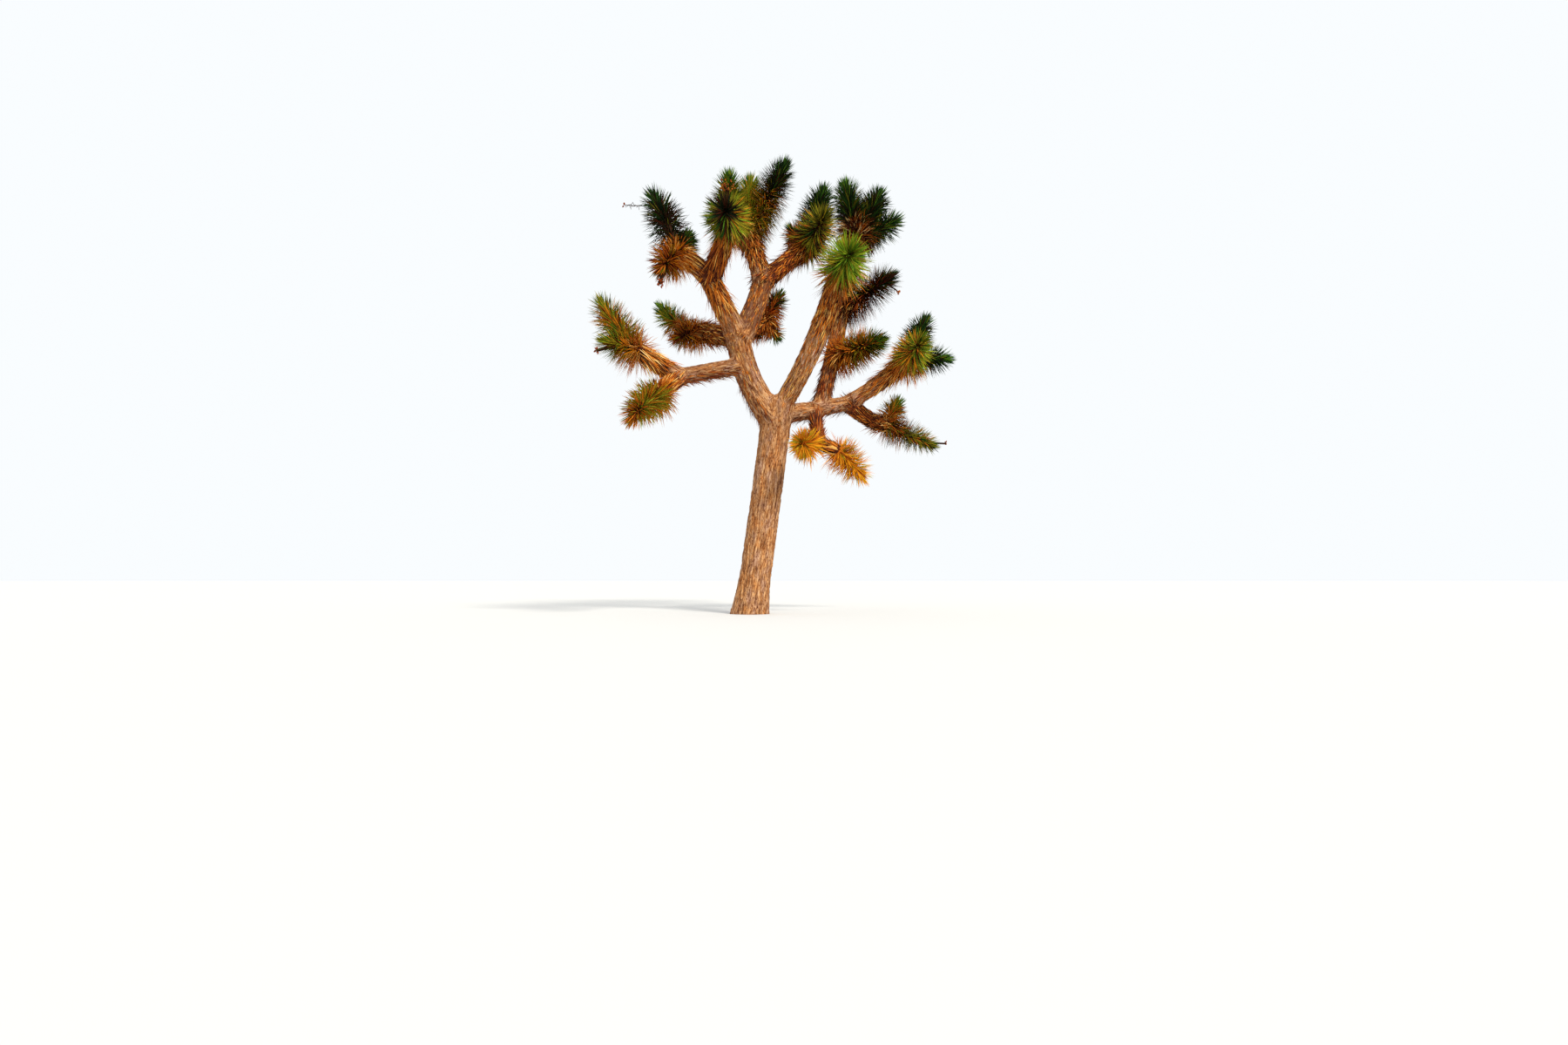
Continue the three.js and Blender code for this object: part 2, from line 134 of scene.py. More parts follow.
FURROWS = (  # cell round the limb, stretch along it, depth
    (0.05, 0.22, 0.011),
    (0.024, 0.35, 0.005),
)
FURROW_SHARPNESS = 3.2
LIMBS_APART = 5  # metres from one limb's bark pattern to the next one's
BORDER_RINGS = 2  # points on each side of the line where two limbs' bark meets
BORDER_SMOOTHING = 6
BEHIND_FOOT = 2.0  # how many times as far off a limb counts behind its foot

# The share of each limb's length, from its foot, that is bare bark.
BARE_FEET = dict(
    left_bough=0.5, left_low_bough=1.2, left_low_fork_outer=0.33, left_low_fork_inner=0.25,
    right_bough=0.14, right_low_bough=1.2, right_low_fork_outer=0.26, right_riser=0.45,
    right_drop_bough=1.2, right_drop_fork=0.7, right_drop_spur=0.8,
)
# The share from which its thatch is loose. Other limbs' is loose all along if they end in a head,
# and else nowhere.
LOOSE_FROM = dict(
    right_bough=0.62, right_low_fork_outer=0.5, centre_fork_left=0.25, upper_left_bough=0.5,
)
# How dark the painted shade is on the bark of some limbs, which are in shade.
SHADED_LIMBS = dict(
    right_riser=0.6, right_drop_bough=0.95, right_drop_fork=0.95, right_drop_spur=0.95,
    centre_bough=0.7, right_low_fork_inner=0.5, centre_spur=0.6, left_low_bough=0.35,
    left_low_fork_inner=0.4, left_low_fork_outer=0.3,
)
SHADED_FLAKED = 0.4  # painted shade above which a limb's flakes take darker colours, also painted shade
SHADE_FROM = 0.12  # metres from the foot of a limb in painted shade to where its shade starts, as its foot is inside its neighbour
PRESSED_SHADE = 0.2  # painted shade on the bark under pressed thatch

# Heads: their stems and leaves

STEM_SIDES = 12
STEM_RINGS = 9
STEM_ENDS = (-0.04, 1.02)  # shares of its length
STEM_FOOT = 0.85  # share of its limb's radius
STEM_TIP = 0.035
STEM_TAPER = 0.7  # the lower, the nearer to its foot a stem thins
STEM_BLUNTING = 0.5  # its last ring, as a share of its radius there
BLADE = ((0.0, 0.75), (0.3, 1.0), (0.7, 0.72))  # shares along a leaf, and of its width
LEAF_KEEL = 0.45  # how far a leaf's back stands out, as a share of half its width
LEAVES_PER_METRE = 1400
TIP_LEAVES = 0.12  # length added to each stem in the count of its leaves
FIRST_LEAF = -0.04
LAST_LEAF = 0.99
TURN_PLAY = 0.35  # radians
TIP_LEAF_ANGLE = 8
LEAF_ANGLE_CURVE = 4
LEAF_ANGLE_PLAY = 20
REACH_PLAY = 0.26
TIP_SHORTENING = 0.25
TIP_SHORTENING_CURVE = 3
LEAF_SUNK = 0.8  # where a leaf starts, as a share of the stem's radius
LEAF_WIDTH = 0.013
LEAF_WIDTH_PLAY = (0.8, 1.2)
LIVE_SAG = (0, 0.012)
DEAD_SAG = (0.02, 0.1)
INNER_LEAVES = 0.4  # share of the leaves that are short and fill the head
INNER_REACH = (0.5, 0.8)
YOUNG = 0.8  # share of the stem beyond which its leaves are young
AGE_PLAY = 0.12  # share of the stem over which dead, live and young leaves mingle
LEAF_TESTS = (0.55, 0.8, 1.0)  # shares along a leaf where its clearance is tried
LIMB_CLEARANCE = 0.006
STEM_CLEARANCE = 0.02
# Heads that have lost leaves: up to a share of the stem, and the share of leaves left there.
THINNED = {"head_upper_left_top": (0.5, 0.4)}
# Heads fuller than the others, and how many times over.
FULLER = dict(
    head_top_peak=1.65, head_top_tuft=1.3, head_top_front=1.1, head_centre_up=1.25,
    head_left_outer_low=1.25, head_right_top=1.35, head_right_front=1.15, head_right_side=1.9,
    head_right_lower_side=1.5,
)
# The young sprout in a fork.
SPROUT_ON = ("centre_fork_right", 0.12)
SPROUT_WAY = (280.0, 62.0)  # heading and rise
SPROUT_LEAVES = 26
SPROUT_REACH = 0.13
SPROUT_SUNK = 0.9  # where it starts, as a share of the limb's radius
SPROUT_SPREAD = 0.75
SPROUT_LENGTHS = (0.6, 1)
SPROUT_WIDTH = 0.7  # share of a leaf's
# The pieces of leaves, by the starts of their heads' names.
CROWN_PARTS = {
    "left": ("head_left", "head_upper_left"),
    "top": ("head_top", "head_centre"),
    "right": ("head_right", "head_low_spur"),
}

# Dead leaves on the limbs

# Of each kind: leaves to the square metre, length, degrees off the limb, sag and width.
PRESSED = (2500, (0.07, 0.15), (1, 7), 0.003, 0.009)
SHINGLES = (2400, (0.08, 0.17), (2, 12), 0.006, 0.0105)
SHAG = (420, (0.12, 0.22), (8, 40), 0.05, 0.0105)  # over the shingles
SKIRT = (1300, (0.13, 0.24), (8, 48), 0.06, 0.0105)  # under a head
FLAKES = (1050, (0.03, 0.095), (1, 9), 0.002, 0.008)  # of bark, where it is bare
TEETH = (1100, (0.07, 0.16), (8, 32), 0.02, 0.0105)  # all round bare bark in deep painted shade
HANGING = (800, (0.07, 0.17), (10, 45), 0.02, 0.0105)  # under other bare bark
HANGS_BELOW = -0.2  # rise of the limb's own outward direction under which they hang
STRAW = ((0.0, 0.8), (0.5, 1.0))  # shares along a dead leaf, and of its width
SPLINTER = ((0.0, 0.1), (0.4, 1.0))
STRAW_KEEL = 0.3
STRAW_SUNK = 0.95  # where it starts, as a share of the limb's radius
STRAW_TWIST = 0.22
STRAW_WIDTH_PLAY = (0.7, 1.4)
STRAW_HEIGHT = 0.05  # above the ground, at its tip
THATCH_EDGE = 0.12  # share of a limb over which one kind gives way to the next
GIRTH_SAMPLES = 9
FLAKES_FROM = 0.03  # share of the trunk
FRINGE_FROM = 0.08  # share of a bare limb from which it has teeth or hanging leaves
SKIRT_START = dict(
    right_bough=0.93, right_low_fork_inner=0.85, right_drop_fork=0.8, right_drop_spur=0.9,
    centre_fork_left=0.8, left_low_fork_inner=0.9, upper_left_fork_outer=0.85,
)
USUAL_SKIRT_START = 0.74
SKIRT_END = 1.05
# Limbs with no shag.
TIGHT_LIMBS = {
    "right_bough", "right_low_fork_inner", "right_drop_fork", "right_drop_spur",
    "left_low_fork_inner", "upper_left_fork_outer",
}
# The pieces of thatch, by the starts of their limbs' names.
THATCH_PARTS = {
    "left": ("left", "upper_left"),
    "top": ("centre",),
    "right": ("right",),
}

# Dry flower stalks, each on a head

STALKS = [
    # on, at, heading, rise, lift, length, foot radius, tip radius, twigs, pods
    ("head_upper_left_top", 0.93, 190, -6, 18, 400, 7, 3, 14, 3),
    ("head_upper_left_front", 0.9, 235, -70, 0, 290, 36, 22, 0, 22),
    ("head_left_outer_low", 0.8, 205, -22, 0, 270, 22, 16, 0, 12),
    ("head_right_inner_side", 0.95, 12, 0, 0, 290, 16, 12, 0, 5),
    ("head_right_side", 0.95, 340, -36, -20, 270, 12, 8, 3, 9),
    ("head_top_tuft", 0.45, 270, 42, 0, 210, 20, 18, 0, 60),
]
STALK_SIDES = 8
STALK_RINGS = 7
STALK_PLAY = (0.9, 1.1)
PALE_PODS = {"head_top_tuft", "head_right_side"}  # heads where every other pod is pale
POD_LENGTH = 0.03
POD_RADIUS = 0.009
POD_RADII = (0.3, 0.85, 1.0, 0.8, 0.25)
POD_RISES = (-60, 80)
POD_SPREAD = 0.012
POD_SPREAD_EACH = 0.001  # added for each pod of a cluster
TWIG_LENGTH = 0.05
TWIG_RADIUS = 0.0035
TWIG_TAPER = 0.6
TWIG_RISES = (-70, 50)
TWIGS_ALONG = (0.55, 0.95)

# Colours, as shares of sRGB

COLOURS = dict(
    black_green=(0.06, 0.11, 0.04),
    deep_green=(0.14, 0.27, 0.06),
    mid_green=(0.30, 0.44, 0.08),
    bright_green=(0.50, 0.60, 0.11),
    lime=(0.68, 0.72, 0.20),
    olive=(0.45, 0.43, 0.08),
    moss=(0.61, 0.54, 0.11),
    pale_moss=(0.75, 0.70, 0.24),
    gold=(0.92, 0.64, 0.12),
    deep_gold=(0.80, 0.50, 0.08),
    amber=(0.76, 0.42, 0.10),
    orange_brown=(0.67, 0.37, 0.12),
    rust=(0.50, 0.22, 0.07),
    maroon=(0.30, 0.11, 0.05),
    dark_brown=(0.19, 0.10, 0.04),
    bark_brown=(0.58, 0.40, 0.24),
    pink_grey=(0.74, 0.60, 0.52),
    straw=(0.87, 0.66, 0.34),
    pale_straw=(0.93, 0.80, 0.54),
    grey_straw=(0.72, 0.58, 0.42),
)
COLOUR_NAMES = list(COLOURS)
# For each kind of head: colours of the live leaves, of the dead ones at its base, of the young
# ones at its tip, and of the short ones inside it, which are darker as painted shade.
PALETTES = dict(
    shade=(
        dict(black_green=7, deep_green=5, mid_green=1, olive=1, dark_brown=3),
        dict(dark_brown=4, rust=2, amber=2, maroon=2, orange_brown=2, straw=1),
        dict(deep_green=6, black_green=4, mid_green=2),
        dict(black_green=6, dark_brown=4),
    ),
    green=(
        dict(black_green=7, deep_green=5, mid_green=1, olive=2, dark_brown=2),
        dict(dark_brown=5, maroon=3, rust=3, orange_brown=1, pale_straw=3),
        dict(deep_green=6, mid_green=4, black_green=1),
        dict(black_green=6, deep_green=1, dark_brown=2),
    ),
    bright=(
        dict(mid_green=4, bright_green=4, lime=1, olive=5, moss=2),
        dict(olive=2, amber=3, orange_brown=3, rust=2, straw=2, dark_brown=2),
        dict(bright_green=4, olive=3, mid_green=2, dark_brown=1),
        dict(bright_green=3, mid_green=3, olive=3, deep_green=2),
    ),
    smoky=(
        dict(black_green=3, olive=6, deep_green=3, mid_green=3, dark_brown=3),
        dict(olive=3, moss=3, deep_green=2, amber=2, straw=1),
        dict(dark_brown=4, black_green=3, maroon=1),
        dict(black_green=4, dark_brown=4),
    ),
    mossy=(
        dict(olive=5, moss=6, bright_green=3, deep_gold=2, mid_green=1),
        dict(olive=2, moss=3, deep_gold=4, amber=2, straw=2),
        dict(deep_green=4, mid_green=4, moss=2),
        dict(olive=4, moss=3, deep_green=1),
    ),
    olive=(
        dict(deep_green=3, mid_green=3, olive=6, moss=4, black_green=1),
        dict(olive=3, moss=2, amber=3, orange_brown=3, rust=2, straw=2),
        dict(mid_green=4, deep_green=4, bright_green=1),
        dict(olive=3, deep_green=3, dark_brown=2),
    ),
    moss=(
        dict(olive=5, moss=3, deep_gold=4, amber=2, mid_green=2, rust=2, dark_brown=2),
        dict(amber=5, orange_brown=3, deep_gold=3, straw=3, rust=2),
        dict(mid_green=4, olive=4, deep_green=2, moss=2),
        dict(olive=4, moss=2, rust=3),
    ),
    rust=(
        dict(olive=4, rust=3, amber=3, dark_brown=2, deep_green=2),
        dict(rust=4, amber=4, orange_brown=4, straw=1, maroon=2),
        dict(deep_green=5, black_green=2, mid_green=2, olive=2),
        dict(dark_brown=3, rust=4, maroon=2),
    ),
    maroon=(
        dict(dark_brown=4, maroon=4, black_green=2, rust=4, olive=2),
        dict(maroon=4, rust=4, dark_brown=3, amber=1, straw=1),
        dict(black_green=4, deep_green=4, maroon=2, olive=1),
        dict(dark_brown=4, maroon=4, black_green=2),
    ),
    bronze=(
        dict(olive=4, amber=4, deep_gold=3, moss=2, rust=2, mid_green=1),
        dict(amber=6, orange_brown=4, deep_gold=2, straw=2, rust=3),
        dict(mid_green=3, deep_green=4, olive=3, dark_brown=1),
        dict(dark_brown=2, rust=3, olive=3, maroon=1),
    ),
    dusky=(
        dict(black_green=6, deep_green=3, dark_brown=4, maroon=2, olive=1),
        # Its dead leaves' amber, gold and straw partly stand in for sun glinting through the leaves:
        # painted highlights.
        dict(amber=2, deep_gold=3, straw=1, olive=6, moss=3, dark_brown=4, maroon=1),
        dict(deep_green=4, black_green=4, mid_green=1),
        dict(black_green=4, dark_brown=4),
    ),
    umber=(
        dict(olive=7, moss=3, amber=2, dark_brown=3, deep_green=2),
        dict(amber=3, rust=3, olive=3, dark_brown=3),
        dict(olive=5, moss=2, deep_green=2, dark_brown=1),
        dict(dark_brown=4, olive=3, black_green=1),
    ),
    sunny=(
        dict(moss=5, pale_moss=2, bright_green=1, olive=3, lime=1, deep_gold=4, amber=2),
        dict(amber=4, orange_brown=3, deep_gold=3, straw=3, rust=2),
        dict(amber=4, deep_gold=2, olive=3, rust=2),
        dict(olive=4, amber=3, rust=2),
    ),
    tawny=(
        dict(amber=4, deep_gold=3, rust=4, orange_brown=3, maroon=3, olive=2),
        dict(amber=4, orange_brown=4, straw=3, deep_gold=3, maroon=1),
        dict(rust=3, amber=4, maroon=2, olive=2),
        dict(maroon=3, rust=4, amber=2),
    ),
    gold=(
        dict(deep_gold=5, gold=6, moss=3, amber=1),
        dict(amber=5, deep_gold=5, rust=2, gold=2),
        dict(moss=3, gold=4, deep_gold=3, olive=1),
        dict(amber=4, deep_gold=4, rust=2),
    ),
)
# Heads whose live leaves on the +X side, where the sun falls, are of another kind's colours: painted
# sunlight.
SUNLIT_SIDES = {"head_top_front": "mossy", "head_right_outer_front": "bright"}
SUNLIT_SIDE = 0.3  # how far towards +X such a leaf points
STEM_COLOURS = ("dark_brown", "amber")  # the first, dark brown, is the stems' own brown and painted shade inside the heads; the second is for heads of the kind gold

PRESSED_COLOURS = dict(
    bark_brown=6, grey_straw=2, orange_brown=5, straw=3, amber=4, rust=3, maroon=2
)
PALE_PRESSED_COLOURS = dict(
    bark_brown=7, grey_straw=4, pink_grey=2, orange_brown=4, straw=3, amber=3, rust=2, maroon=1
)
SHINGLE_COLOURS = dict(
    bark_brown=3, orange_brown=6, amber=6, rust=4, grey_straw=1, straw=4, maroon=3, dark_brown=2
)
PRESSED_TONES = {
    "left_bough": PALE_PRESSED_COLOURS,
    "right_bough": PALE_PRESSED_COLOURS,
    "centre_bough": SHINGLE_COLOURS,
}
SHAG_COLOURS = dict(orange_brown=6, amber=6, rust=4, straw=4, maroon=2, dark_brown=1)
# Darker thatch colours, painted shade, for the limbs in shade listed below.
SHADED_THATCH_COLOURS = dict(rust=6, maroon=4, orange_brown=4, amber=4, dark_brown=3, straw=1)
SHADED_THATCHED = {
    "centre_fork_right", "upper_left_fork_inner", "centre_spur", "right_low_fork_inner",
}
PALE_SKIRT_COLOURS = dict(straw=6, pale_straw=3, amber=3, orange_brown=3, rust=1)
PALE_SKIRTS = {"upper_left_fork_outer", "left_low_fork_outer", "right_low_fork_inner"}
TEETH_COLOURS = dict(rust=4, maroon=3, orange_brown=3, bark_brown=1)
HANGING_COLOURS = dict(orange_brown=2, rust=4, bark_brown=3, maroon=3)
FLAKE_COLOURS = dict(
    bark_brown=8, grey_straw=3, pink_grey=3, orange_brown=2, rust=1, dark_brown=1
)
# Darker copies of the flake colours, painted shade, for limbs in shade.
SHADED_FLAKE_COLOURS = dict(rust=6, maroon=4, orange_brown=2, bark_brown=1)

# The bark's patterns: stretch along the limb, cells to the metre round it, detail and roughness.
# Then the colours from the low places of each to the high ones.
FIBRES = (0.13, 48, 6, 0.65)
PITS = (0.3, 85, 3, 0.65)
PATCHES = (0.35, 11, 3, 0.65)
FIBRE_COLOURS = (
    (0.34, (0.38, 0.23, 0.13)),
    (0.45, (0.60, 0.43, 0.29)),
    (0.54, (0.73, 0.57, 0.42)),
    (0.66, (0.86, 0.72, 0.56)),
)
PIT_COLOURS = ((0.36, (0.58, 0.42, 0.34)), (0.48, (1.0, 1.0, 1.0)))
PATCH_COLOURS = ((0.38, (1.0, 0.87, 0.70)), (0.5, (1.0, 0.95, 0.88)), (0.62, (0.94, 0.91, 0.96)))
# Painted shade: the dark colour that the bark is mixed towards under thatch and on limbs in shade.
PAINTED_SHADE_COLOUR = (0.30, 0.13, 0.06)
BARK_BUMP = (0.9, 0.012)  # strength and depth
LEAF_GRAIN = (90, 2, 0.5)  # cells to the metre, detail and roughness
LEAF_BUMP = (0.25, 0.004)

# Floor, light and camera

FLOOR_REACH = 150
FLOOR_COLOUR = (0.62, 0.615, 0.6, 1)
SKY_COLOUR = (0.95, 0.98, 1.0, 1)
KEY_STRENGTH = 3.4
KEY_SIZE = math.radians(14)
KEY_COLOUR = (1.0, 0.95, 0.86)
KEY_TURN = (math.radians(48), 0, math.radians(36))
SENSOR = 36
LENS = 18
FARTHEST_SEEN = 500
CAMERA_PLACE = (0.428, -9.93, 0.436)
CAMERA_PITCH = 4.131  # degrees above the level

rng = np.random.default_rng(7)


# Middle lines, limbs and heads

def unit(vectors):
    return vectors / np.maximum(np.linalg.norm(vectors, axis=-1, keepdims=True), 1e-9)


def towards(heading, rise):
    heading, rise = np.radians(heading), np.radians(rise)
    flat = np.cos(rise)
    return np.stack([flat * np.cos(heading), flat * np.sin(heading), np.sin(rise)], axis=-1)


class Line:
    """The middle line of a limb or of a head's stem."""

    def __init__(self, start, heading, rise, lift, length):
        middles = (np.arange(STEPS) + 0.5) / STEPS
        ways = towards(heading, rise + lift * (middles - 0.5))
        self.length = length
        self.points = np.vstack([start, start + np.cumsum(ways, axis=0) * length / STEPS])
        rises = np.linspace(rise - lift / 2, rise + lift / 2, STEPS + 1)
        self.tangents = towards(heading, rises)
        self.shares = np.linspace(0, 1, STEPS + 1)
        turn = math.radians(heading)
        self.side = np.array([math.sin(turn), -math.cos(turn), 0.0])

    def at(self, shares):
        """Places, tangents and ups at shares of the length. It runs on straight at both ends."""
        shares = np.atleast_1d(np.asarray(shares, float))
        inside = np.clip(shares, 0, 1)
        points = np.stack([np.interp(inside, self.shares, p) for p in self.points.T], -1)
        tangents = unit(
            np.stack([np.interp(inside, self.shares, t) for t in self.tangents.T], -1)
        )
        points = points + tangents * ((shares - inside) * self.length)[:, None]
        return points, tangents, np.cross(self.side, tangents)

    def outward(self, turns, ups):
        return np.cos(turns)[:, None] * self.side + np.sin(turns)[:, None] * ups

    def nearest(self, places):
        """Distance from each place to the line, and the share of the line where it is nearest."""
        squares = np.stack([((places - point) ** 2).sum(-1) for point in self.points])
        return np.sqrt(squares.min(axis=0)), self.shares[squares.argmin(axis=0)]


class Limb:
    def __init__(self, row):
        self.name, self.on, at, heading, rise, lift, length, foot, tip = row
        self.foot, self.tip, self.length = foot * MM, tip * MM, length * MM
        start = limbs[self.on].line.at(at)[0][0] if self.on else np.zeros(3)
        self.line = Line(start, heading, rise, lift, self.length)

    def girth(self, share):
        share = np.asarray(share, float)
        plain = self.foot + (self.tip - self.foot) * share
        if self.on:
            return plain * (1 + COLLAR * np.exp(-share * self.length / COLLAR_LENGTH))
        return plain + FORK_SWELL * np.exp((share - 1) * self.length / FORK_SWELL_LENGTH)


class Head:
    def __init__(self, row):
        (self.name, self.on, self.at, heading, rise, lift, length, reach, self.spread,
         self.palette, self.dead) = row
        self.length, self.reach = length * MM, reach * MM
        limb = limbs[self.on]
        self.line = Line(limb.line.at(self.at)[0][0], heading, rise, lift, self.length)
        self.foot = float(limb.girth(self.at)) * STEM_FOOT

    def stem_radius(self, share):
        return self.foot + (STEM_TIP - self.foot) * np.clip(share, 0, 1) ** STEM_TAPER


limbs = {}
for row in LIMBS:
    limbs[row[0]] = Limb(row)
heads = {row[0]: Head(row) for row in HEADS}
leafy_limbs = {head.on for head in heads.values() if head.at == 1}


# Meshes from arrays

def add_object(name, data):
    made = bpy.data.objects.new(name, data)
    bpy.context.scene.collection.objects.link(made)
    return made


def read(collection, key, width, kind):
    """A property of each of a mesh's points, edges, corners or faces."""
    values = np.empty(len(collection) * width, kind)
    collection.foreach_get(key, values)
    return values.reshape(-1, width) if width > 1 else values


def write(collection, key, values, kind=np.float32):
    collection.foreach_set(key, np.asarray(values, kind).ravel())


def make_mesh(name, vertices, faces, materials, indices=None, smooth=False):
    """One object from an array of vertices and a list of arrays of equal-sided faces."""
    mesh = bpy.data.meshes.new(name)
    loops = np.concatenate([f.ravel() for f in faces])
    sizes = np.concatenate([np.full(len(f), f.shape[1]) for f in faces])
    mesh.vertices.add(len(vertices))
    write(mesh.vertices, "co", vertices)
    mesh.loops.add(len(loops))
    write(mesh.loops, "vertex_index", loops, np.int32)
    mesh.polygons.add(len(sizes))
    write(mesh.polygons, "loop_start", np.cumsum(sizes) - sizes, np.int32)
    for material in materials:
        mesh.materials.append(material)
    if indices is not None:
        write(mesh.polygons, "material_index", indices, np.int32)
    mesh.update(calc_edges=True)
    mesh.validate()
    write(mesh.polygons, "use_smooth", [smooth] * len(mesh.polygons), bool)
    return add_object(name, mesh)


def full_turn(sides):
    return np.linspace(0, math.tau, sides, endpoint=False)


def tube(line, shares, radii, sides):
    """Vertices and faces of a closed tube. A ring has one radius, or one for each side."""
    points, _, ups = line.at(shares)
    angles = full_turn(sides)[:, None]
    around = np.cos(angles) * line.side + np.sin(angles) * ups[:, None]
    rings = points[:, None] + radii[:, :, None] * around
    count = len(shares)
    vertices = np.vstack([rings.reshape(-1, 3), points[:1], points[-1:]])
    ring = np.arange(count - 1)[:, None] * sides
    here = np.arange(sides)[None, :]
    after = (here + 1) % sides
    quads = np.stack(
        [ring + here, ring + after, ring + sides + after, ring + sides + here], -1
    ).reshape(-1, 4)
    last = (count - 1) * sides
    foot = np.stack([np.full(sides, count * sides), after[0], here[0]], -1)
    tip = np.stack([np.full(sides, count * sides + 1), last + here[0], last + after[0]], -1)
    return vertices, [quads, np.vstack([foot, tip])]


def join(parts):
    """Several (vertices, faces) as one, quads and triangles apart."""
    vertices, quads, triangles, base = [], [], [], 0
    for points, faces in parts:
        vertices.append(points)
        for group in faces:
            (quads if group.shape[1] == 4 else triangles).append(group + base)
        base += len(points)
    return np.vstack(vertices), [np.vstack(g) for g in (quads, triangles) if g]


# Bark

def rounded_ends(shares, length, radius):
    """Share of the radius that is left where a limb's ends are rounded off."""
    over = np.maximum(-shares * length, (shares - 1) * length) / (radius * ROUNDING)
    return np.sqrt(np.clip(1 - np.clip(over, 0, BLUNTEST) ** 2, 0, 1))


def limb_body(limb):
    rooted = limb.on is None
    cap = TIP_BEYOND * limb.tip / limb.length
    first = -(BELOW_GROUND if rooted else FOOT_SUNK * limb.foot) / limb.length
    count = int((1 + cap - first) * limb.length / LIMB_RING)
    shares = np.linspace(first, 1 + cap, count)
    plain = limb.girth(np.clip(shares, 0, 1))
    ends = rounded_ends(shares, limb.length, limb.tip if rooted else limb.foot)
    if not rooted:
        return tube(limb.line, shares, (plain * ends)[:, None], LIMB_SIDES)
    plain *= np.where(shares > 1, ends, 1)
    height = np.clip(shares * limb.length, 0, None)
    flare = ROOT_FLARE * np.exp(-height / ROOT_FLARE_HEIGHT)
    lobes = 1 - ROOT_LOBE_DEPTH * (1 - np.cos(ROOT_LOBES * full_turn(LIMB_SIDES)))
    return tube(limb.line, shares, plain[:, None] + flare[:, None] * lobes, LIMB_SIDES)


def voxel_union(source, voxel):
    """Replaces an object's mesh by one skin round all its bodies."""
    modifier = source.modifiers.new("union", "REMESH")
    modifier.mode = "VOXEL"
    modifier.voxel_size = voxel
    modifier.use_smooth_shade = True
    depsgraph = bpy.context.evaluated_depsgraph_get()
    mesh = bpy.data.meshes.new_from_object(source.evaluated_get(depsgraph))
    source.modifiers.clear()
    source.data = mesh


def smoothed(points, edges, rounds, share=0.5):
    """Points drawn towards their neighbours' middle, round after round."""
    count = np.bincount(edges.ravel(), minlength=len(points))[:, None]
    for _ in range(rounds):
        total = np.zeros_like(points)
        for axis in range(3):
            for here, there in (edges.T, edges.T[::-1]):
                total[:, axis] += np.bincount(here, points[there, axis], len(points))
        points = points + share * (total / np.maximum(count, 1) - points)
    return points


def loose_from(limb):
    """The share of a limb from which its thatch is loose."""
    return LOOSE_FROM.get(limb.name, 0.0 if limb.name in leafy_limbs else 1.0)


def owners(points):
    """For each point: the number of the limb whose bark it is on, and its share of that limb."""
    depths, shares = [], []
    for limb in limbs.values():
        distance, share = limb.line.nearest(points)
        behind = BEHIND_FOOT if limb.on else 1
        depths.append(distance / limb.girth(share) * np.where(share == 0, behind, 1))
        shares.append(share)
    owner = np.argmin(depths, axis=0)
    return owner, np.array(shares)[owner, np.arange(len(points))]


def limb_coordinates(points, owner):
    """Places across, above and along the limb that each point belongs to."""
    coordinates = np.zeros((len(points), 3))
    for index, limb in enumerate(limbs.values()):
        own = owner == index
        _, share = limb.line.nearest(points[own])
        centre, tangent, up = limb.line.at(share)
        offset = points[own] - centre
        along = share * limb.length + (offset * tangent).sum(-1)
        across = (offset * limb.line.side).sum(-1)
        above = (offset * up).sum(-1)
        coordinates[own] = np.stack([across, above, along + LIMBS_APART * index], -1)
    return coordinates


def step(values, edge):
    return np.clip((values - edge) / THATCH_EDGE + 0.5, 0, 1)


def shade_under_thatch(owner, share):
    """How much painted shade darkens the bark where it is bare, or under pressed or loose thatch."""
    shade = np.zeros(len(owner))
    for index, limb in enumerate(limbs.values()):
        if limb.on is None:
            continue
        own = owner == index
        bare = BARE_FEET.get(limb.name, 0.0)
        pressed = PRESSED_SHADE * step(share[own], bare)
        loose = step(share[own], max(loose_from(limb), bare))
        # Painted shade on the limbs that are in shade, from a little past their foot.
        dark = SHADED_LIMBS.get(limb.name, 0.0) * step(share[own], SHADE_FROM / limb.length)
        shade[own] = np.maximum(np.maximum(pressed, loose), dark)
    return shade


def mark_bark(mesh):
    """Writes the limb coordinates on the face corners and the painted shade on the points."""
    points = read(mesh.vertices, "co", 3, float)
    owner, share = owners(points)
    corners = read(mesh.loops, "vertex_index", 1, np.int64)
    sizes = read(mesh.polygons, "loop_total", 1, np.int64)
    starts = read(mesh.polygons, "loop_start", 1, np.int64)
    face_owner = owner[corners[starts]]
    coordinates = limb_coordinates(points[corners], np.repeat(face_owner, sizes))
    attribute = mesh.attributes.new("limb", "FLOAT_VECTOR", "CORNER")
    write(attribute.data, "vector", coordinates)
    # Painted shade under thatch and on limbs in shade: how far it darkens the bark.
    painted_shade_amount = mesh.attributes.new("thatched", "FLOAT", "POINT")
    write(painted_shade_amount.data, "value", shade_under_thatch(owner, share))


def furrow(coordinates, cell, stretch):
    """Ridged noise, drawn out along the limb: 0 on the plates, 1 in the furrows."""
    scale = np.array([1 / cell, 1 / cell, stretch / cell])
    values = np.array([noise.noise(Vector(c)) for c in coordinates * scale])
    return 1 - np.clip(np.abs(values) * FURROW_SHARPNESS, 0, 1)


